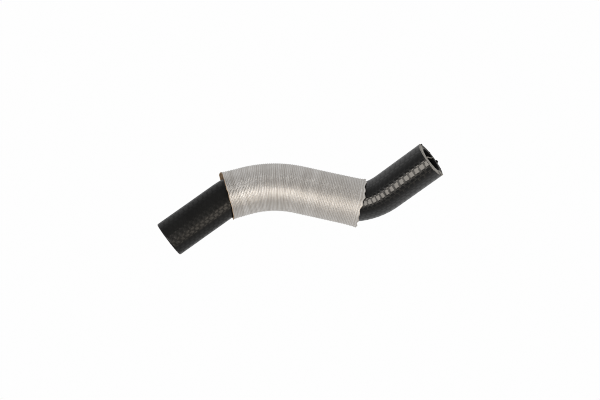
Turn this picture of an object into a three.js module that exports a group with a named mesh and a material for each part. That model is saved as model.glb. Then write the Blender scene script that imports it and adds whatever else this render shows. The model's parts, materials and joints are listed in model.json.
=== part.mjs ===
// Charge air hose: a moulded rubber hose with a bend near each end,
// and a foil-faced heat shield sleeve pushed over its middle.
// Millimetres, +Z up. +X runs along the left leg, seen from above.

import * as THREE from 'three';

// Rubber hose
const HOSE_OUTER_D = 28;
const HOSE_BORE_D = 19;
const LEFT_LEG = 73;        // end face to the corner of the first bend
const MIDDLE_LEG = 88;      // corner to corner
const RIGHT_LEG = 62;       // corner of the second bend to the end face
const LEFT_BEND_R = 52;
const RIGHT_BEND_R = 45;
const MIDDLE_HEADING = -48; // degrees in plan, from the left leg
const RIGHT_HEADING = 1.2;
const LEFT_RISE = 4.8;      // degrees that a leg climbs towards its end
const RIGHT_RISE = 18.8;

// Heat shield sleeve: it lies level on the floor and the hose leans on its inside
const SLEEVE_PLAY = 3;      // radial room round the hose
const TOUCH_GAP = 0.3;      // left where the hose leans on the sleeve
const SLEEVE_WALL = 0.8;
const SLEEVE_BEND_R = 84;
const SLEEVE_TURN = 27.4;   // degrees that its left run is turned from the middle leg
const SLEEVE_CORNER = 17;   // its own corner, past the hose's first corner
const SLEEVE_LEFT_RUN = 34; // its left end to its corner
const SLEEVE_SHORT = 4.6;   // its right end stops this far before the second corner
const SLEEVE_LEFT_CUT = 8;  // degrees that its left end is cut askew, shorter on top

// Facets
const ROUND_SEGMENTS = 48;
const STEP_ANGLE = 4;       // degrees of bend between sections
const MIN_BEND_STEPS = 3;
const SAME_PLACE = 1e-3;

const RUBBER = { color: 0x1c1c1e, roughness: 0.55, metalness: 0 };
const FOIL = { color: 0xb4b0a8, roughness: 0.5, metalness: 0.75 };

const { degToRad } = THREE.MathUtils;

function heading(planAngle, rise = 0) {
  const plan = degToRad(planAngle);
  const climb = degToRad(rise);
  return new THREE.Vector3(
    Math.cos(plan) * Math.cos(climb),
    Math.sin(plan) * Math.cos(climb),
    Math.sin(climb),
  );
}

// A centreline kept as sections: a point and a direction each.
class Centreline extends THREE.Curve {
  constructor(sections) {
    super();
    this.sections = sections;
  }

  section(u) {
    return this.sections[Math.round(u * (this.sections.length - 1))];
  }

  getPointAt(u, target = new THREE.Vector3()) {
    return target.copy(this.section(u).point);
  }

  getTangentAt(u, target = new THREE.Vector3()) {
    return target.copy(this.section(u).along);
  }
}

// Sections round a bend from a point, turning from one direction to another.
function bendSections(start, from, to, radius) {
  const turn = from.angleTo(to);
  const side = to.clone().addScaledVector(from, -from.dot(to)).normalize();
  const steps = Math.max(MIN_BEND_STEPS, Math.ceil(turn / degToRad(STEP_ANGLE)));
  const sections = [];
  for (let i = 0; i <= steps; i += 1) {
    const angle = (turn * i) / steps;
    sections.push({
      point: start.clone()
        .addScaledVector(from, radius * Math.sin(angle))
        .addScaledVector(side, radius * (1 - Math.cos(angle))),
      along: from.clone()
        .multiplyScalar(Math.cos(angle))
        .addScaledVector(side, Math.sin(angle)),
    });
  }
  return sections;
}

// Round a corner of the hose: the tangent points lie on its two legs.
function cornerSections(corner, from, to, radius) {
  const setback = radius * Math.tan(from.angleTo(to) / 2);
  const start = corner.clone().addScaledVector(from, -setback);
  return bendSections(start, from, to, radius);
}

function hoseCentreline() {
  const left = heading(0, -LEFT_RISE);
  const middle = heading(MIDDLE_HEADING);
  const right = heading(RIGHT_HEADING, RIGHT_RISE);
  const firstCorner = new THREE.Vector3();
  const secondCorner = middle.clone().multiplyScalar(MIDDLE_LEG);
  const leftEnd = left.clone().multiplyScalar(-LEFT_LEG);
  const rightEnd = secondCorner.clone().addScaledVector(right, RIGHT_LEG);
  return new Centreline([
    { point: leftEnd, along: left },
    ...cornerSections(firstCorner, left, middle, LEFT_BEND_R),
    ...cornerSections(secondCorner, middle, right, RIGHT_BEND_R),
    { point: rightEnd, along: right },
  ]);
}

function sleeveCentreline() {
  const left = heading(MIDDLE_HEADING + SLEEVE_TURN);
  const middle = heading(MIDDLE_HEADING);
  const aside = heading(MIDDLE_HEADING + 90);
  const lean = SLEEVE_PLAY - TOUCH_GAP;
  const corner = middle.clone().multiplyScalar(SLEEVE_CORNER).addScaledVector(aside, lean);
  const leftEnd = corner.clone().addScaledVector(left, -SLEEVE_LEFT_RUN);
  const rightRun = MIDDLE_LEG - SLEEVE_SHORT - SLEEVE_CORNER;
  const rightEnd = corner.clone().addScaledVector(middle, rightRun);
  return new Centreline([
    { point: leftEnd, along: left },
    ...cornerSections(corner, left, middle, SLEEVE_BEND_R),
    { point: rightEnd, along: middle },
  ]);
}

function pipe(centreline, outerD, boreD) {
  const ring = new THREE.Shape().absarc(0, 0, outerD / 2, 0, 2 * Math.PI);
  ring.holes.push(new THREE.Path().absarc(0, 0, boreD / 2, 0, 2 * Math.PI));
  return new THREE.ExtrudeGeometry(ring, {
    extrudePath: centreline,
    steps: centreline.sections.length - 1,
    curveSegments: ROUND_SEGMENTS / 2,
  });
}

function piece(name, geometry, look) {
  const mesh = new THREE.Mesh(geometry, new THREE.MeshStandardMaterial(look));
  mesh.name = name;
  return mesh;
}

// Slides the points of a level pipe's first section along it, shorter on top.
function cutAskew(geometry, centreline, degrees) {
  const { point, along } = centreline.sections[0];
  const position = geometry.getAttribute('position');
  const vertex = new THREE.Vector3();
  for (let i = 0; i < position.count; i += 1) {
    vertex.fromBufferAttribute(position, i);
    const height = vertex.z - point.z;
    if (Math.abs(vertex.clone().sub(point).dot(along)) < SAME_PLACE) {
      vertex.addScaledVector(along, height * Math.tan(degToRad(degrees)));
      position.setXYZ(i, ...vertex);
    }
  }
}

const sleeveBore = HOSE_OUTER_D + 2 * SLEEVE_PLAY;
const sleeveRoute = sleeveCentreline();
const hose = pipe(hoseCentreline(), HOSE_OUTER_D, HOSE_BORE_D);
const sleeve = pipe(sleeveRoute, sleeveBore + 2 * SLEEVE_WALL, sleeveBore);
cutAskew(sleeve, sleeveRoute, SLEEVE_LEFT_CUT);

const group = new THREE.Group();
group.add(piece('rubber_hose', hose, RUBBER));
group.add(piece('heat_shield_sleeve', sleeve, FOIL));

// The origin sits under the middle of the whole, on the floor.
const box = new THREE.Box3().setFromObject(group);
const centre = box.getCenter(new THREE.Vector3());
for (const mesh of group.children) {
  mesh.geometry.translate(-centre.x, -centre.y, -box.min.z);
}

export default group;
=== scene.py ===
"""Looks of a charge air hose: moulded rubber with a knitted cover, and a ribbed foil sleeve."""

import json
import math

import bpy
import numpy as np
from mathutils import Matrix, Vector


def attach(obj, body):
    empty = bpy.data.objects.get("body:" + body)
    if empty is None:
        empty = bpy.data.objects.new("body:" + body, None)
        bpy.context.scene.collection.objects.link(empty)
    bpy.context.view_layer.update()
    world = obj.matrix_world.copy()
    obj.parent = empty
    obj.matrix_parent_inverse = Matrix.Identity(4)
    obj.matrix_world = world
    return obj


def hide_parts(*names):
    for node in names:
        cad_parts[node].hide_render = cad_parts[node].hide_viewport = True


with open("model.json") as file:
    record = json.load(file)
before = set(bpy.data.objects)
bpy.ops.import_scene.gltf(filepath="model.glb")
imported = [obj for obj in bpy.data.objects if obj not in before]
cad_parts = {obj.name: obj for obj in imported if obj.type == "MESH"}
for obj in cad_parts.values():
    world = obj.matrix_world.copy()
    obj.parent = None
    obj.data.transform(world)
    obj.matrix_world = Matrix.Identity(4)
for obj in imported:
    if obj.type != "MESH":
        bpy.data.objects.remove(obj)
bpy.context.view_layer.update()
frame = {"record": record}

MM = 0.001
TURN = 2 * math.pi
FLOOR_GAP = 0.05      # no point is lower, so nothing lies in the plane of the floor

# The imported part's own sizes, in millimetres and degrees
HOSE_R = 14.0
BORE_R = 9.5
LEFT_LEG = 73.0
MIDDLE_LEG = 88.0
RIGHT_LEG = 62.0
LEFT_BEND_R = 52.0
RIGHT_BEND_R = 45.0
MIDDLE_HEADING = -48.0
RIGHT_HEADING = 1.2
LEFT_RISE = 4.8
RIGHT_RISE = 18.8
SLEEVE_R = 17.8
SLEEVE_LEAN = 2.7
SLEEVE_BEND_R = 84.0
SLEEVE_TURN = 27.4
SLEEVE_CORNER = 17.0
SLEEVE_LEFT_RUN = 34.0
SLEEVE_SHORT = 4.6
SLEEVE_LEFT_CUT = 8.0

# How finely the pieces are divided: steps in millimetres, and points round a ring
ARC_STEP = 0.5
STRAIGHT_STEP = 1.0
HOSE_STEP = 0.55
BORE_STEP = 2.5
HOSE_SIDES = 168
FACE_RINGS = 10
SLEEVE_SIDES = 120
RIB_SAMPLES = 6
INNER_SAMPLES = 3
THREAD_SIDES = 8
PITCH_SAMPLES = 2000

# Seeds of the random draws
HOSE_SEED = 5
KNIT_SEED = 41
SLEEVE_SEED = 11
RIB_SEED = 3
TONE_SEED = 29
THREAD_SEED = 23

# Knitted cover: slanted stitches in wide and narrow rows along the hose, in millimetres
KNIT_PAIRS = 12
WIDE_SHARE = 0.66     # share of a pair of rows
PAIR_PHASE = -0.013
STITCH_PITCHES = ((0, 4.3), (110, 4.2), (150, 3.4), (168, 3.6), (185, 4.5), (217, 4.7))
PAST_END = 5
STITCH_DEPTH = 0.05
WIDE_TILT = 0.16      # share of a stitch, from one edge of a row to the other
NARROW_TILT = -0.16
ROW_SHIFT = 0.40      # share of a stitch, from a wide row to a narrow one
GROOVE_WIDTH = 0.17   # share of a stitch
CORNER_ROUND = 0.10   # the stitches' corners are cut off by this share of a stitch
BORDER_WIDTH = 0.060  # share of a pair of rows
BORDER_DEPTH = 0.85   # share of the depth of a groove
CROWN = 0.15
KNIT_FADE = 1.5       # the marks fade out this near to a cut end
UNEVEN_STITCH = 0.08  # share of a stitch
UNEVEN_PERIOD = 97.0
UNEVEN_TERMS = 24
PAIR_SPREAD = 37      # each row takes its unevenness from another stretch of one wave
NARROW_SPREAD = 19
COVER_WAVE = 0.05
COVER_TERMS = 9
COVER_RAISE = 0.05
EDGE_ROUND = 0.3

# Rubbers of the cover: name, specular level, lowest and highest roughness, and how light it is
RUBBERS = (
    ("dull_rubber", 0.28, 0.19, 0.26, 0.0145),
    ("glossy_rubber", 0.93, 0.115, 0.16, 0.0055),
    ("dull_groove", 0.17, 0.30, 0.38, 0.0135),
    ("glossy_groove", 0.66, 0.31, 0.37, 0.006),
)
# Places of the materials in each piece's list
DULL, CUT, LINER, GLOSSY, DULL_GROOVE, GLOSSY_GROOVE = range(6)
FOIL, KRAFT = range(2)
GROOVE_FROM = 0.5     # a face that lies deeper than this has the rubber of the grooves
CHANGE_AT = 110.0     # under the sleeve, the left leg's dull rubber gives way to glossy rubber
PALE_FRINGE = 0.3     # width of the pale edge beside the right cut face

# Cut ends, in millimetres
CUT_ROUGH = 0.02
CUT_TERMS = 24
YARN_AT = 0.5         # share of the wall, from outside
YARN_WIDTH = 0.16
YARN_PROUD = 0.08
YARN_TUFTS = 36
LEFT_SKEW = 0.37      # the left end's upper corner in the picture stands out
LEFT_LONGER = 0.2     # and the whole left end is longer than the solid
SKEW_REACH = 12.0
# How pale the cut faces are, darker towards the bottom: its middle and its swing from the top down,
# least and most
PALE_MIDDLE, PALE_SWING, PALE_LOW, PALE_HIGH = 0.55, 0.9, 0.1, 1
PALE_LEAST = 0.05
# Where the cut faces are paler or darker: angle from the top, width, how much
PALE_PLACES = ((1.65, 0.12, 0.9), (1.3, 0.08, -0.9), (4.5, 0.1, -0.9))

# The loose strand over the right bore: aside, above, out of the face, and its radius
STRAND = (
    (-1.6, 12.0, 0.1, 0.30), (-1.7, 9.8, 0.25, 0.55), (-1.8, 6.0, 0.1, 0.48), (-1.7, 1.0, -0.1, 0.38),
    (-1.4, -4.5, -0.1, 0.32), (-1.6, -8.0, 0.0, 0.26), (-1.9, -11.0, 0.05, 0.20),
)
# Yarn ends and nubs of the right rim: angle from the top, place, reach, radius, whether pale
RIM_ENDS = (
    (172.7, 13.8, 0.8, 1.3, False),
    (-102.0, 13.6, 0.5, 0.65, False),
    (-76.0, 13.3, 0.5, 0.60, True),
    (94.0, 13.2, 0.7, 0.75, True),
    (140.0, 12.6, 0.4, 0.50, False),
    (-150.0, 12.8, 0.35, 0.45, False),
)
NUB_POINTS = 6
NUB_ROOT = 0.6        # a nub starts this deep in the wall
NUB_SPREAD = 0.35
NUB_WOBBLE = 0.08
NUB_TIP = 0.2
NUB_BLUNT = 6
NO_THREAD_WAY = (0.3, 0.5, 0.81)  # a direction that no thread runs in

# Sleeve: one rib runs round it as a screw; in millimetres and radians
RIB_PITCH = 1.2
RIB_DEPTH = 0.45
RIB_RAISE = 0.15
RIB_UNEVEN_ALONG = 0.06   # shares of a rib
RIB_UNEVEN_AROUND = 0.05
RIB_TERMS_ALONG = 14
RIB_TERMS_AROUND = 5
FOIL_THICK = 0.2
PAPER_EDGE_ROWS = 2
END_FLARE = 0.4
FLARE_REACH = 5.0
LIP = 0.35            # the torn rims turn outwards this much more
LIP_REACH = 0.8
DENTS = 0.03
DENT_TERMS = 6
DENT_TWIST = 4
DENT_PERIOD = 1.3     # share of the sleeve's length

# Worn rims of the sleeve
LEFT_RAG = 0.8
LEFT_RAG_TERMS = 14
LEFT_REACH = 22.0
SLEEVE_LEFT_LONGER = 0.9
RIGHT_RAG = 1.5
RIGHT_RAG_TERMS = 22
RIGHT_REACH = 2.2
SLEEVE_RIGHT_LONGER = 1.3
TEETH = 17
TOOTH = 0.30
TOOTH_SHARP = 2.5
TOOTH_SHIFT = 3.0
TOOTH_TERMS = 7
# Where a rim stands out: angle from the top, width, how far
LEFT_POINT = (-0.24, 0.08, 0.45)
LEFT_TONGUE = (4.2, 0.45, 1.6)
RIGHT_PLACES = ((-0.40, 0.25, 0.85), (0.27, 0.20, -1.0))

# Tones of the foil: each rib has its own, which changes on its way round
VALLEY_PAINTED_SHADE = 0.34    # painted shade, brown, in the valleys of the ribs
SPARE_TONES = 6
FIRST_TONE = 2
TONE_TWIST = 0.3
TONE_AT_LEFT = 1.1
TONE_FADE = 0.6

# Studio: the floor's size in metres, and the sky's height and level
FLOOR_SIZE = 60.0
FLOOR_GLOW = 0.99
SKY = (
    (0.0, 0.6), (0.45, 0.6), (0.52, 0.49), (0.62, 0.30), (0.72, 0.19), (0.88, 0.15), (0.92, 0.10),
    (1.0, 0.08),
)
# Lights: name, place, size, angle in the picture, power and colour
# A place is to the right, up the picture and above the floor, in millimetres
LIGHTS = (
    ("key", (-154.0, -153.0, 600.0), (400.0, 200.0), -53.0, 1.0, (1.0, 0.93, 0.84)),
    ("fill", (336.0, -426.0, 600.0), (560.0, 220.0), -54.0, 1.2, (1.0, 0.89, 0.75)),
    ("left", (-520.0, -180.0, 400.0), (400.0, 400.0), 90.0, 1.05, (1.0, 1.0, 1.0)),
    ("right", (520.0, -150.0, 400.0), (500.0, 400.0), 90.0, 0.5, (1.0, 1.0, 1.0)),
    ("above", (230.0, 680.0, 600.0), (500.0, 300.0), -15.0, 1.25, (1.0, 1.0, 1.0)),
)
LIGHTS_AIM = (0, 0, 18)

# Camera: it looks straight down at the part, turned to the photograph's upright
CAMERA_AT = (-0.84, -2.18, 641.5)
CAMERA_TURN = -35.58
CAMERA_LENS = 50.0
CAMERA_SENSOR = 36.0
CAMERA_NEAR, CAMERA_FAR = 0.01, 100.0
PIXEL_BLUR = 1.0


def heading(plan, rise=0.0):
    """Unit vector along a heading in plan that climbs by rise, both in degrees."""
    p, r = math.radians(plan), math.radians(rise)
    return np.array([math.cos(p) * math.cos(r), math.sin(p) * math.cos(r), math.sin(r)])


def corner_arc(corner, a, b, radius):
    """Points and directions round a corner from direction a to direction b."""
    turn = math.acos(float(a @ b))
    side = b - a * (a @ b)
    side /= np.linalg.norm(side)
    start = corner - a * radius * math.tan(turn / 2)
    angle = np.linspace(0, turn, max(4, int(radius * turn / ARC_STEP)))[:, None]
    points = start + radius * (np.sin(angle) * a + (1 - np.cos(angle)) * side)
    return points, np.cos(angle) * a + np.sin(angle) * side


def straight(a, b):
    """Points and directions from a towards b, both ends left out."""
    length = np.linalg.norm(b - a)
    along = (b - a) / length
    n = max(2, int(length / STRAIGHT_STEP))
    t = np.linspace(0, 1, n + 1)[1:-1, None]
    return a + (b - a) * t, np.repeat([along], n - 1, 0)


class Route:
    """A centreline of points, each with a direction and a frame that doesn't twist."""

    def __init__(self, points, directions):
        self.p = points
        self.t = directions
        gaps = np.linalg.norm(np.diff(points, axis=0), axis=1)
        self.s = np.concatenate([[0], np.cumsum(gaps)])
        self.length = self.s[-1]
        up = np.array([0, 0, 1.0])
        normals = []
        for t in directions:
            up = up - t * (up @ t)
            up /= np.linalg.norm(up)
            normals.append(up)
        self.up = np.array(normals)
        self.side = np.cross(self.t, self.up)

    def at(self, stations):
        """Points, directions, up and side vectors at distances along the route."""
        out = []
        for values in (self.p, self.t, self.up, self.side):
            out.append(np.stack([np.interp(stations, self.s, values[:, k]) for k in range(3)], 1))
        for unit in out[1:]:
            unit /= np.linalg.norm(unit, axis=1, keepdims=True)
        return out


def chain(start, first_way, bends, end, last_way):
    """A route with straight runs before, between and after its bends."""
    runs, at = [(start[None], first_way[None])], start
    for points, ways in bends:
        runs += [straight(at, points[0]), (points, ways)]
        at = points[-1]
    runs += [straight(at, end), (end[None], last_way[None])]
    return Route(np.vstack([r[0] for r in runs]), np.vstack([r[1] for r in runs]))


def hose_route(first):
    """The hose's centreline: three legs with the corners between them rounded."""
    left, middle = heading(0, -LEFT_RISE), heading(MIDDLE_HEADING)
    right = heading(RIGHT_HEADING, RIGHT_RISE)
    second = first + middle * MIDDLE_LEG
    bends = (
        corner_arc(first, left, middle, LEFT_BEND_R),
        corner_arc(second, middle, right, RIGHT_BEND_R),
    )
    return chain(first - left * LEFT_LEG, left, bends, second + right * RIGHT_LEG, right)


def sleeve_route(first):
    """The sleeve's centreline, which cuts the hose's first bend short."""
    left, middle = heading(MIDDLE_HEADING + SLEEVE_TURN), heading(MIDDLE_HEADING)
    aside = heading(MIDDLE_HEADING + 90)
    corner = first + middle * SLEEVE_CORNER + aside * SLEEVE_LEAN
    end = corner + middle * (MIDDLE_LEG - SLEEVE_SHORT - SLEEVE_CORNER)
    bends = (corner_arc(corner, left, middle, SLEEVE_BEND_R),)
    return chain(corner - left * SLEEVE_LEFT_RUN, left, bends, end, middle)


def first_corner():
    """The hose's first corner, found from the mount on its left end face."""
    mount = next(m for m in frame["record"]["mounts"] if m["name"] == "left_end")
    to_mount = np.array([0, (HOSE_R + BORE_R) / 2, 0])
    left_end = np.array(mount["pos_m"]) / MM - to_mount
    return left_end + heading(0, -LEFT_RISE) * LEFT_LEG


def ring_angles(sides):
    """Angles from the top of the points round a ring."""
    return np.arange(sides) * TURN / sides


def around(values, sides):
    """Each row's value for all points of its ring."""
    return np.repeat(np.asarray(values)[:, None], sides, 1)


def hill(x, at, width):
    """1 at one place, falling off smoothly on both sides."""
    return np.exp(-(((x - at) / width) ** 2))


def wave_noise(rng, x, period, terms):
    """Smooth random wave of x that repeats after period, about -1 to 1."""
    total = np.zeros(np.shape(x))
    for k in range(1, terms + 1):
        size, phase = rng.uniform(0.4, 1.0) / math.sqrt(k), rng.uniform(0, TURN)
        total = total + size * np.sin(TURN * k * x / period + phase)
    return total / math.sqrt(terms)


def add_object(name, data):
    """An object in the scene."""
    made = bpy.data.objects.new(name, data)
    bpy.context.scene.collection.objects.link(made)
    return made


def add_piece(name, points, faces, materials):
    """A smooth mesh object; its points are given in millimetres."""
    mesh = bpy.data.meshes.new(name)
    mesh.from_pydata((points.reshape(-1, 3) * MM).tolist(), [], faces)
    for material in materials:
        mesh.materials.append(material)
    mesh.polygons.foreach_set("use_smooth", np.ones(len(faces), dtype=bool))
    mesh.update()
    return add_object(name, mesh)


def sweep(name, route, stations, radius, slide, slots, materials, lowest=FLOOR_GAP):
    """A smooth closed piece: each row is a ring round the route, and the last row meets the first.

    radius and slide have a value for each point of each row, and slots one for each face.
    slide moves a point along the route, and no point of a row is lower than lowest.
    """
    rows, sides = radius.shape
    theta = ring_angles(sides)
    p, t, up, side = route.at(stations)
    out = np.cos(theta)[None, :, None] * up[:, None] + np.sin(theta)[None, :, None] * side[:, None]
    points = p[:, None] + radius[..., None] * out + slide[..., None] * t[:, None]
    points[..., 2] = np.maximum(points[..., 2], lowest)
    i, j = np.meshgrid(np.arange(rows), np.arange(sides), indexing="ij")
    down, right = (i + 1) % rows, (j + 1) % sides
    quads = (i * sides + j, i * sides + right, down * sides + right, down * sides + j)
    piece = add_piece(name, points, np.stack(quads, -1).reshape(-1, 4).tolist(), materials)
    piece.data.polygons.foreach_set("material_index", slots.ravel().astype(np.int32))
    piece.data.update()
    return piece


def add_floats(piece, name, values):
    """A value for each point, which the materials read."""
    layer = piece.data.attributes.new(name, "FLOAT", "POINT")
    layer.data.foreach_set("value", np.asarray(values, dtype=np.float32).ravel())


def knit_relief(s, theta):
    """Depth of the knitted marks below the cover's highest points, and how far in a groove."""
    pair = theta / TURN * KNIT_PAIRS + PAIR_PHASE
    share = pair - np.floor(pair)
    narrow = share > WIDE_SHARE
    across = np.where(narrow, share - (1 + WIDE_SHARE) / 2, share - WIDE_SHARE / 2)
    width = np.where(narrow, 1 - WIDE_SHARE, WIDE_SHARE)
    tilt = np.where(narrow, NARROW_TILT, WIDE_TILT)
    fine = np.linspace(0, STITCH_PITCHES[-1][0] + PAST_END, PITCH_SAMPLES)
    pitch = np.interp(fine, *zip(*STITCH_PITCHES))
    count = np.interp(s, fine, np.cumsum(1 / pitch) * (fine[1] - fine[0]))
    place = s + PAIR_SPREAD * np.floor(pair) + NARROW_SPREAD * narrow
    rng = np.random.default_rng(KNIT_SEED)
    uneven = UNEVEN_STITCH * wave_noise(rng, place, UNEVEN_PERIOD, UNEVEN_TERMS)
    u = count + uneven + np.where(narrow, ROW_SHIFT, 0) + across / width * tilt
    from_groove = np.abs(u - np.round(u))
    rounding = CORNER_ROUND * (np.abs(across) / width * 2) ** 3
    groove = hill(np.maximum(from_groove - rounding, 0), 0, GROOVE_WIDTH)
    border = hill(width / 2 - np.abs(across), 0, BORDER_WIDTH) * BORDER_DEPTH
    crown = (0.5 - from_groove) ** 2 * 4 * CROWN
    groove = np.maximum(groove, border)
    return STITCH_DEPTH * (groove + crown), groove


def cut_face(rng, theta, outwards):
    """Rings of a cut end, from the cover in to the bore, with the cut yarn standing proud."""
    r = np.linspace(HOSE_R - EDGE_ROUND, BORE_R, FACE_RINGS + 2)[1:-1]
    share = (HOSE_R - r) / (HOSE_R - BORE_R)
    yarn = hill(share, YARN_AT, YARN_WIDTH)[:, None]
    tufts = 0.5 + 0.5 * np.sin(theta[None] * YARN_TUFTS + rng.uniform(0, 6))
    saw = wave_noise(rng, theta[None], TURN, CUT_TERMS)
    lift = CUT_ROUGH * (rng.standard_normal((FACE_RINGS, HOSE_SIDES)) * 0.5 + saw)
    lift = outwards * (lift + YARN_PROUD * yarn * tufts)
    return around(r, HOSE_SIDES), lift, around(share, HOSE_SIDES)


def make_hose(route, materials):
    """Cover, right cut face, bore and left cut face in one closed piece."""
    rng = np.random.default_rng(HOSE_SEED)
    theta = ring_angles(HOSE_SIDES)
    length = route.length
    cover_rows, bore_rows = int(length / HOSE_STEP), int(length / BORE_STEP)
    s = np.linspace(0, length, cover_rows)[:, None]
    depth, groove = knit_relief(*np.broadcast_arrays(s, theta[None]))
    from_end = np.minimum(s, length - s)
    fade = np.clip(from_end / KNIT_FADE, 0, 1)
    edge = EDGE_ROUND * np.clip(1 - from_end / EDGE_ROUND, 0, 1) ** 2
    wave = COVER_WAVE * fade * wave_noise(rng, s, length, COVER_TERMS)
    cover = HOSE_R + COVER_RAISE - depth * fade - edge + wave
    right_r, right_lift, right_share = cut_face(rng, theta, 1)
    left_r, left_lift, left_share = cut_face(rng, theta, -1)

    bore = np.full((bore_rows, HOSE_SIDES), BORE_R)
    bore_s = np.linspace(length, 0, bore_rows)
    ends = np.full(FACE_RINGS, length), np.zeros(FACE_RINGS)
    stations = np.concatenate([s[:, 0], ends[0], bore_s, ends[1]])
    radius = np.vstack([cover, right_r, bore, left_r[::-1]])
    slide = np.vstack([np.zeros_like(cover), right_lift, np.zeros_like(bore), left_lift[::-1]])
    near_left = np.clip(1 - stations / SKEW_REACH, 0, 1)[:, None]
    skew = (LEFT_SKEW * np.sin(theta)[None] - LEFT_LONGER) * near_left
    slide = slide + skew * radius / HOSE_R

    right_part = np.where(s[1:, 0] < length - PALE_FRINGE, GLOSSY, CUT)
    cover_slots = around(np.where(s[:-1, 0] < CHANGE_AT, DULL, right_part), HOSE_SIDES)
    sunk = groove * fade
    in_groove = sunk[:-1] + sunk[1:] + np.roll(sunk[:-1], -1, 1) > 3 * GROOVE_FROM
    cover_slots[in_groove & (cover_slots == DULL)] = DULL_GROOVE
    cover_slots[in_groove & (cover_slots == GLOSSY)] = GLOSSY_GROOVE
    rest = np.repeat([CUT, LINER, CUT], [FACE_RINGS + 1, bore_rows - 1, FACE_RINGS + 1])
    slots = np.vstack([cover_slots, around(rest, HOSE_SIDES)])
    piece = sweep("moulded_hose", route, stations, radius, slide, slots, materials)

    through = np.vstack([np.zeros_like(cover), right_share, np.ones_like(bore), left_share[::-1]])
    add_floats(piece, "through_wall", through)
    # The cut faces are paler at the top and darker towards the bottom, with some paler and darker
    # places.
    pale = np.clip(PALE_MIDDLE + PALE_SWING * np.cos(theta), PALE_LOW, PALE_HIGH)
    for at, width, much in PALE_PLACES:
        pale = pale + much * hill(theta, at, width)
    add_floats(piece, "pale", np.repeat(np.clip(pale, PALE_LEAST, 1)[None], len(stations), 0))
    return piece


def make_sleeve(route, materials):
    """Ribbed foil outside, kraft paper inside, with worn rims, in one closed piece."""
    rng = np.random.default_rng(SLEEVE_SEED)
    theta = ring_angles(SLEEVE_SIDES)
    length = route.length
    ribs = length / RIB_PITCH
    outer_rows, inner_rows = int(ribs * RIB_SAMPLES), int(ribs * INNER_SAMPLES)

    def ribbed(s, deeper):
        """Radius of a face of the sheet, how far down in a valley, and how many ribs along."""
        rng = np.random.default_rng(RIB_SEED)
        from_end = np.minimum(s, length - s)
        along = RIB_UNEVEN_ALONG * wave_noise(rng, s, length, RIB_TERMS_ALONG)
        uneven = along + RIB_UNEVEN_AROUND * wave_noise(rng, theta[None], TURN, RIB_TERMS_AROUND)
        phase = s / RIB_PITCH + theta[None] / TURN + uneven
        valley = 0.5 + 0.5 * np.cos(TURN * phase)
        flare = END_FLARE * np.exp(-from_end / FLARE_REACH) + LIP * np.exp(-from_end / LIP_REACH)
        twisted = s + theta[None] * DENT_TWIST
        dents = DENTS * wave_noise(rng, twisted, length * DENT_PERIOD, DENT_TERMS)
        top = SLEEVE_R + RIB_RAISE + flare + dents
        return top - RIB_DEPTH * valley - deeper, valley, phase

    s = np.linspace(0, length, outer_rows)[:, None]
    inner_s = np.linspace(length, 0, inner_rows)[:, None]
    outside, valley, phase = ribbed(s, 0)
    inside = ribbed(inner_s, FOIL_THICK)[0]
    stations = np.concatenate([s[:, 0], inner_s[:, 0]])
    radius = np.vstack([outside, inside])

    cut = radius * np.cos(theta)[None] * math.tan(math.radians(SLEEVE_LEFT_CUT))
    left_rag = LEFT_RAG * wave_noise(rng, theta, TURN, LEFT_RAG_TERMS)
    right_rag = RIGHT_RAG * wave_noise(rng, theta, TURN, RIGHT_RAG_TERMS)
    tooth_phase = TEETH * theta + TOOTH_SHIFT * wave_noise(rng, theta, TURN, TOOTH_TERMS)
    right_rag = right_rag + TOOTH * np.tanh(TOOTH_SHARP * np.sin(tooth_phase))
    from_top = (theta + math.pi) % TURN - math.pi
    at, width, reach = LEFT_POINT
    left_rag = left_rag - SLEEVE_LEFT_LONGER - reach * hill(from_top, at, width)
    at, width, reach = LEFT_TONGUE
    tongue = -reach * hill(theta, at, width)
    for at, width, reach in RIGHT_PLACES:
        right_rag = right_rag + reach * hill(from_top, at, width)
    near_left = np.clip(1 - stations / LEFT_REACH, 0, 1)[:, None]
    near_right = np.clip(1 - (length - stations) / RIGHT_REACH, 0, 1)[:, None]
    slide = near_left * (cut + left_rag[None] + tongue[None])
    slide = slide + near_right * (SLEEVE_RIGHT_LONGER + right_rag[None])

    foil_rows = outer_rows - 1 - PAPER_EDGE_ROWS
    slots = np.repeat([KRAFT, FOIL, KRAFT], [PAPER_EDGE_ROWS, foil_rows, inner_rows + 1])
    lowest = FLOOR_GAP + np.repeat([0, FOIL_THICK], [outer_rows, inner_rows])[:, None]
    slots = around(slots, SLEEVE_SIDES)
    piece = sweep("foil_sleeve", route, stations, radius, slide, slots, materials, lowest)

    tones = np.random.default_rng(TONE_SEED).uniform(-1, 1, (2, int(ribs) + SPARE_TONES))
    first, second = (np.interp(phase + FIRST_TONE, np.arange(tones.shape[1]), row) for row in tones)
    share = 0.5 + 0.5 * np.sin(2 * theta[None] + TONE_TWIST * phase)
    swing = TONE_AT_LEFT - TONE_FADE * s / length
    tone = 0.5 + 0.5 * (share * first + (1 - share) * second) * swing
    add_floats(piece, "tone", np.vstack([tone, np.full_like(inside, 0.5)]))
    add_floats(piece, "along", around(np.clip(stations / length, 0, 1), SLEEVE_SIDES))
    add_floats(piece, "valley", np.vstack([valley, np.zeros_like(inside)]))
    return piece


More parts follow.
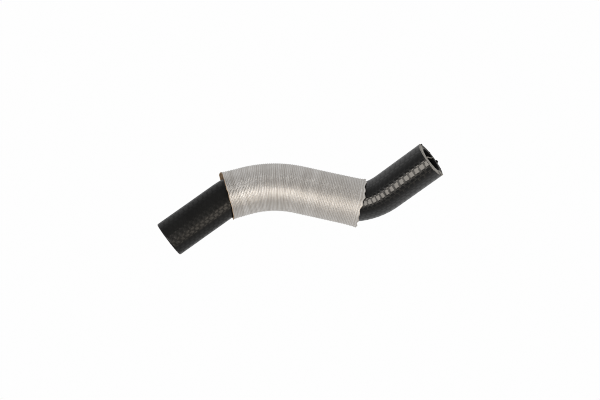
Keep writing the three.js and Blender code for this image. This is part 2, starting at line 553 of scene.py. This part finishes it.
def thread_mesh(name, points, radii, material):
    """A closed round thread through points in millimetres, thinner or thicker along the way."""
    points, radii = np.asarray(points, dtype=float), np.asarray(radii, dtype=float)
    sides = THREAD_SIDES
    along = np.gradient(points, axis=0)
    along /= np.linalg.norm(along, axis=1, keepdims=True)
    side = np.cross(along, NO_THREAD_WAY)
    side /= np.linalg.norm(side, axis=1, keepdims=True)
    up = np.cross(side, along)
    angle = ring_angles(sides)
    ring = np.cos(angle)[None, :, None] * side[:, None] + np.sin(angle)[None, :, None] * up[:, None]
    rings = points[:, None] + radii[:, None, None] * ring
    faces = []
    for i in range(len(points) - 1):
        for j in range(sides):
            k = (j + 1) % sides
            faces.append((i * sides + j, (i + 1) * sides + j, (i + 1) * sides + k, i * sides + k))
    last = (len(points) - 1) * sides
    faces.append(tuple(range(sides)))
    faces.append(tuple(range(last, last + sides))[::-1])
    return add_piece(name, rings, faces, [material])


def end_threads(route, pale, dark):
    """The loose strand over the right bore, and the yarn ends and nubs round its rim."""
    rng = np.random.default_rng(THREAD_SEED)
    p, t, up, side = [v[0] for v in route.at(np.array([route.length]))]

    def on_face(aside, above, out):
        return p + side * aside + up * above + t * out

    made = [thread_mesh("strand", [on_face(*v[:3]) for v in STRAND], [v[3] for v in STRAND], pale)]
    for index, (angle, radius, reach, thick, is_pale) in enumerate(RIM_ENDS):
        a = math.radians(angle)
        way = np.array([math.sin(a), math.cos(a)])
        points, radii = [], []
        for k in range(NUB_POINTS):
            share = k / (NUB_POINTS - 1)
            r = radius + share * reach * NUB_SPREAD
            wobble = rng.normal(0, NUB_WOBBLE, 2) * share
            points.append(on_face(*(way * r + wobble), -NUB_ROOT + share * (reach + NUB_ROOT)))
            radii.append(thick * math.sqrt(max(NUB_TIP, 1 - share**NUB_BLUNT)))
        made.append(thread_mesh(f"rim_end_{index}", points, radii, pale if is_pale else dark))
    return made


def merge(piece, others):
    """The others become part of piece."""
    bpy.ops.object.select_all(action="DESELECT")
    for each in (piece, *others):
        each.select_set(True)
    bpy.context.view_layer.objects.active = piece
    bpy.ops.object.join()


def grey(level):
    """A colour, or a plain value as a ramp gives it."""
    return (level,) * 3


def fill_ramp(ramp, stops):
    """Gives a ramp its stops, each a place and a colour."""
    while len(ramp.elements) < len(stops):
        ramp.elements.new(0.5)
    for element, (place, colour) in zip(ramp.elements, stops):
        element.position = place
        element.color = (*colour, 1)


class Nodes:
    """Short words for building a material.

    An input is named by its words joined with _, or by its number after a _.
    """

    def __init__(self, name):
        self.material = bpy.data.materials.new(name)
        self.material.use_nodes = True
        self.tree = self.material.node_tree
        self.shader = self.tree.nodes["Principled BSDF"]

    def give(self, made, inputs):
        """Links or sets a node's inputs."""
        for key, value in inputs.items():
            socket = made.inputs[int(key[1:]) if key[1:].isdigit() else key.replace("_", " ")]
            if isinstance(value, bpy.types.NodeSocket):
                self.tree.links.new(value, socket)
            elif socket.type == "RGBA" and len(value) == 3:
                socket.default_value = (*value, 1)
            else:
                socket.default_value = value

    def set(self, **inputs):
        self.give(self.shader, inputs)

    def node(self, kind, **inputs):
        made = self.tree.nodes.new(kind)
        self.give(made, inputs)
        return made

    def noise(self, scale, detail=2.0, rough=0.5, stretch=None):
        place = self.node("ShaderNodeTexCoord").outputs["Object"]
        if stretch:
            place = self.node("ShaderNodeMapping", Vector=place, Scale=stretch).outputs[0]
        sizes = {"Scale": scale, "Detail": detail, "Roughness": rough}
        return self.node("ShaderNodeTexNoise", Vector=place, **sizes).outputs["Fac"]

    def ramp(self, value, *stops):
        made = self.node("ShaderNodeValToRGB", Fac=value)
        fill_ramp(made.color_ramp, stops)
        return made.outputs["Color"]

    def mix(self, share, a, b, way="MIX"):
        made = self.tree.nodes.new("ShaderNodeMix")
        made.data_type = "RGBA"
        made.blend_type = way
        self.give(made, {"_0": share, "_6": a, "_7": b})
        return made.outputs[2]

    def multiply(self, a, b):
        made = self.node("ShaderNodeMath", _0=a, _1=b)
        made.operation = "MULTIPLY"
        return made.outputs[0]

    def attribute(self, name):
        made = self.tree.nodes.new("ShaderNodeAttribute")
        made.attribute_name = name
        return made.outputs["Fac"]

    def bump(self, height, distance, strength):
        made = self.node("ShaderNodeBump", Height=height, Distance=distance, Strength=strength)
        self.set(Normal=made.outputs[0])


def cover_rubber(name, shine, rough_low, rough_high, light):
    """Black rubber of one shine and lightness."""
    m = Nodes(name)
    patches = m.noise(60.0, 3.0)
    m.set(Base_Color=m.ramp(patches, (0.3, grey(0.8 * light)), (0.7, grey(1.2 * light))))
    m.set(Roughness=m.ramp(m.noise(180.0, 4.0), (0.3, grey(rough_low)), (0.75, grey(rough_high))))
    m.set(Specular_IOR_Level=shine)
    m.bump(m.noise(1200.0, 3.0), 0.000008, 0.6)
    return m.material


def cut_rubber():
    """Cut face: pale rubber and yarn, darker towards its underside."""
    m = Nodes("cut_rubber_and_yarn")
    wall = m.attribute("through_wall")
    none, full = grey(0.0), grey(1.0)
    stops = (0.0, none), (0.28, none), (0.4, full), (0.6, full), (0.74, none), (1.0, none)
    yarn_band = m.ramp(wall, *stops)
    grain = m.noise(1400.0, 4.0)
    rubber = m.ramp(grain, (0.3, (0.26, 0.25, 0.235)), (0.7, (0.48, 0.465, 0.44)))
    yarn = m.ramp(grain, (0.3, (0.40, 0.37, 0.32)), (0.7, (0.66, 0.62, 0.55)))
    face = m.mix(yarn_band, rubber, yarn)
    dark = m.ramp(grain, (0.3, (0.02, 0.019, 0.018)), (0.7, (0.06, 0.055, 0.05)))
    m.set(Base_Color=m.mix(m.attribute("pale"), dark, face), Roughness=0.85)
    m.bump(grain, 0.0002, 0.7)
    return m.material


def bore_rubber():
    """Smooth black liner."""
    m = Nodes("bore_rubber")
    m.set(Base_Color=m.ramp(m.noise(70.0), (0.3, grey(0.003)), (0.7, grey(0.006))))
    m.set(Roughness=0.6, Specular_IOR_Level=0.1)
    m.bump(m.noise(500.0), 0.00005, 0.5)
    return m.material


def foil():
    """Dull aluminium foil with a warm cast, lighter and darker from rib to rib."""
    m = Nodes("ribbed_foil")
    patches = m.noise(160.0, 4.0, 0.7)
    light = m.ramp(patches, (0.25, (0.88, 0.86, 0.84)), (0.75, (1.0, 0.985, 0.965)))
    dark = m.mix(1.0, light, (0.78, 0.77, 0.755), "MULTIPLY")
    colour = m.mix(m.attribute("tone"), dark, light)
    # Painted shade: the valleys of the ribs are darkened towards brown.
    painted_valley_shade = m.multiply(m.attribute("valley"), VALLEY_PAINTED_SHADE)
    m.set(Base_Color=m.mix(painted_valley_shade, colour, (0.30, 0.24, 0.18)), Metallic=0.9)
    rough = m.ramp(m.noise(220.0, 4.0), (0.3, grey(0.36)), (0.7, grey(0.46)))
    m.set(Roughness=m.mix(m.attribute("along"), rough, grey(0.56)))
    m.bump(m.noise(1500.0, 2.0), 0.00002, 0.5)
    return m.material


def kraft():
    """Brown kraft paper with flecks of fibre."""
    m = Nodes("kraft_paper")
    fibres = m.noise(900.0, 4.0, 0.7, stretch=(1.0, 1.0, 0.25))
    m.set(Base_Color=m.ramp(fibres, (0.3, (0.34, 0.22, 0.125)), (0.7, (0.54, 0.39, 0.25))))
    m.set(Roughness=0.8)
    m.bump(fibres, 0.0001, 0.5)
    return m.material


def thread():
    """Pale polyester yarn."""
    m = Nodes("pale_yarn")
    strands = m.noise(2500.0, 3.0, 0.6)
    m.set(Base_Color=m.ramp(strands, (0.3, (0.22, 0.205, 0.18)), (0.7, (0.45, 0.42, 0.37))))
    m.set(Roughness=0.75)
    m.bump(strands, 0.0001, 0.6)
    return m.material


def studio_floor():
    """A white floor that glows evenly: it takes no shadow and shows in no reflection."""
    bpy.ops.mesh.primitive_plane_add(size=FLOOR_SIZE, location=(0, 0, 0))
    floor = bpy.context.object
    floor.name = "floor"
    m = Nodes("white_table")
    m.set(Base_Color=grey(0.0), Roughness=0.9, Specular_IOR_Level=0.0)
    m.set(Emission_Color=grey(1.0), Emission_Strength=FLOOR_GLOW)
    floor.data.materials.append(m.material)
    floor.visible_glossy = floor.visible_diffuse = False


def to_row(x, y, z):
    """A point to the right of, up from and in front of the picture's middle, in the row's frame."""
    a = math.radians(CAMERA_TURN)
    return (
        (CAMERA_AT[0] + x * math.cos(a) - y * math.sin(a)) * MM,
        (CAMERA_AT[1] + x * math.sin(a) + y * math.cos(a)) * MM,
        z * MM,
    )


def softbox(name, at, size, angle, power, colour):
    """A rectangular light that faces the part, its width at an angle in the picture."""
    data = bpy.data.lights.new(name, "AREA")
    data.shape = "RECTANGLE"
    data.size, data.size_y = size[0] * MM, size[1] * MM
    data.energy = power
    data.color = colour
    lamp = add_object(name, data)
    place, target = Vector(to_row(*at)), Vector(to_row(*LIGHTS_AIM))
    back = (place - target).normalized()
    a = math.radians(angle + CAMERA_TURN)
    right = Vector((math.cos(a), math.sin(a), 0))
    across = (right - back * right.dot(back)).normalized()
    turn = Matrix((across, back.cross(across), back)).transposed()
    lamp.matrix_world = Matrix.Translation(place) @ turn.to_4x4()
    lamp.visible_camera = False


def sky():
    """A dim room, darkest straight overhead where the camera is."""
    world = bpy.data.worlds.new("studio")
    world.use_nodes = True
    nodes, links = world.node_tree.nodes, world.node_tree.links
    place = nodes.new("ShaderNodeTexCoord")
    split = nodes.new("ShaderNodeSeparateXYZ")
    height = nodes.new("ShaderNodeMapRange")
    height.inputs["From Min"].default_value = -1.0
    ramp = nodes.new("ShaderNodeValToRGB")
    fill_ramp(ramp.color_ramp, [(at, grey(level)) for at, level in SKY])
    links.new(place.outputs["Generated"], split.inputs[0])
    links.new(split.outputs["Z"], height.inputs["Value"])
    links.new(height.outputs[0], ramp.inputs[0])
    links.new(ramp.outputs[0], nodes["Background"].inputs[0])
    bpy.context.scene.world = world


def camera():
    """The photograph's view of the part."""
    data = bpy.data.cameras.new("camera")
    data.lens = CAMERA_LENS
    data.sensor_width = CAMERA_SENSOR
    data.clip_start, data.clip_end = CAMERA_NEAR, CAMERA_FAR
    view = add_object("camera", data)
    view.location = [v * MM for v in CAMERA_AT]
    view.rotation_euler = (0, 0, math.radians(CAMERA_TURN))
    bpy.context.scene.camera = view
    bpy.context.scene.view_settings.view_transform = "Standard"
    bpy.context.scene.cycles.filter_width = PIXEL_BLUR


corner = first_corner()
hose_line = hose_route(corner)
dull, glossy, dull_groove, glossy_groove = [cover_rubber(*values) for values in RUBBERS]
liner = bore_rubber()
hose = make_hose(hose_line, [dull, cut_rubber(), liner, glossy, dull_groove, glossy_groove])
merge(hose, end_threads(hose_line, thread(), liner))
sleeve = make_sleeve(sleeve_route(corner), [foil(), kraft()])
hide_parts("rubber_hose")
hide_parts("heat_shield_sleeve")
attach(hose, "root")
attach(sleeve, "root")
studio_floor()
sky()
for light in LIGHTS:
    softbox(*light)
camera()
